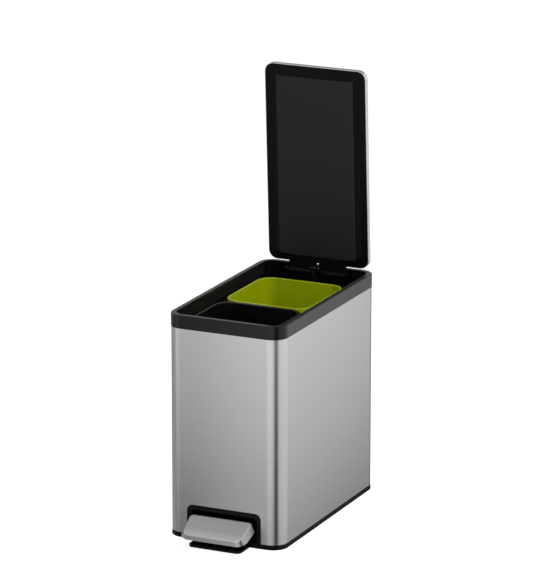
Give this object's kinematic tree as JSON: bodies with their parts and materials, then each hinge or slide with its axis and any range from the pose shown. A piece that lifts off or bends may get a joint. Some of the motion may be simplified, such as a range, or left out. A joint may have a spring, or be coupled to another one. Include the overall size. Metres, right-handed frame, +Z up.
{
  "type": "double recycling bin",
  "caption": "Slim steel pedal bin with an opening lid over lift-out inner buckets for sorting waste.",
  "frame": {"origin": "centre of the steel body's footprint, on the floor plane that the base band rests on", "axes": "+Z up, -Y the front (pedal side), +X to the right of somebody who looks at the front"},
  "size_m": [0.2266, 0.4715, 0.7922],
  "materials": {
    "steel_sheet": "fine horizontal brushing, clear-coated",
    "collar_plastic": "satin moulded black",
    "base_plastic": "satin moulded black",
    "liner_plastic": "fine-grained moulded black",
    "green_plastic": "moulded lime green, half gloss",
    "bucket_plastic": "moulded black, half gloss",
    "plated_steel": "zinc-plated steel",
    "damper_plastic": "dark grey moulded",
    "white_plastic": "natural acetal",
    "soft_rubber": "soft matt"
  },
  "bodies": {
    "bin": {"body_shell": "steel_sheet", "top_collar": "collar_plastic", "base_tray": "base_plastic", "bucket_deck": "base_plastic", "pedal_surround": "base_plastic", "rod_channel_cover": "base_plastic", "rear_shelf": "base_plastic", "rod_guides": "white_plastic", "damper_cylinder": "damper_plastic", "hinge_bracket": "plated_steel", "hinge_pin": "plated_steel", "hinge_pin_clip": "plated_steel", "hinge_bracket_screws": "plated_steel", "fulcrum_bracket": "plated_steel", "pedal_axle": "plated_steel", "axle_clips": "plated_steel", "fulcrum_screws": "plated_steel", "base_screws": "plated_steel", "rubber_feet": "soft_rubber", "pedal_buffer": "soft_rubber", "lid_bumpers": "soft_rubber"},
    "lid": {"lid_skin": "steel_sheet", "lid_liner": "liner_plastic", "hinge_block": "liner_plastic", "crank_pin": "plated_steel"},
    "pedal": {"pedal_plate": "steel_sheet", "pedal_arm": "base_plastic", "pedal_lever": "plated_steel", "lever_pin": "plated_steel", "arm_rivets": "plated_steel"},
    "push_rod_set": {"push_rod": "plated_steel", "rod_head": "base_plastic", "rod_foot": "white_plastic", "rod_clamp": "base_plastic", "damper_rod": "plated_steel"},
    "front_bucket_body": {"front_bucket": "bucket_plastic"},
    "rear_bucket_body": {"rear_bucket": "green_plastic"}
  },
  "joints": [
    {"name": "lid_hinge", "type": "hinge", "parent": "bin", "child": "lid", "pos_m": [0, 0.195, 0.401], "axis": [1, 0, 0], "range_deg": [0, 87]},
    {"name": "pedal_pivot", "type": "hinge", "parent": "bin", "child": "pedal", "pos_m": [0, -0.043, 0.03], "axis": [-1, 0, 0], "range_deg": [0, 5.96]},
    {"name": "rod_slide", "type": "slide", "parent": "bin", "child": "push_rod_set", "axis": [0, 0, -1], "range_m": [0, 0.02341]},
    {"name": "front_bucket_lift", "type": "slide", "parent": "bin", "child": "front_bucket_body", "axis": [0, 0, 1], "range_m": [0, 0.4]},
    {"name": "rear_bucket_lift", "type": "slide", "parent": "bin", "child": "rear_bucket_body", "axis": [0, 0, 1], "range_m": [0, 0.4]}
  ],
  "couplings": [
    {"joint": "pedal_pivot", "follows": "lid_hinge", "ratio": 0.06843},
    {"joint": "rod_slide", "follows": "lid_hinge", "m_per_rad": 0.015411}
  ]
}
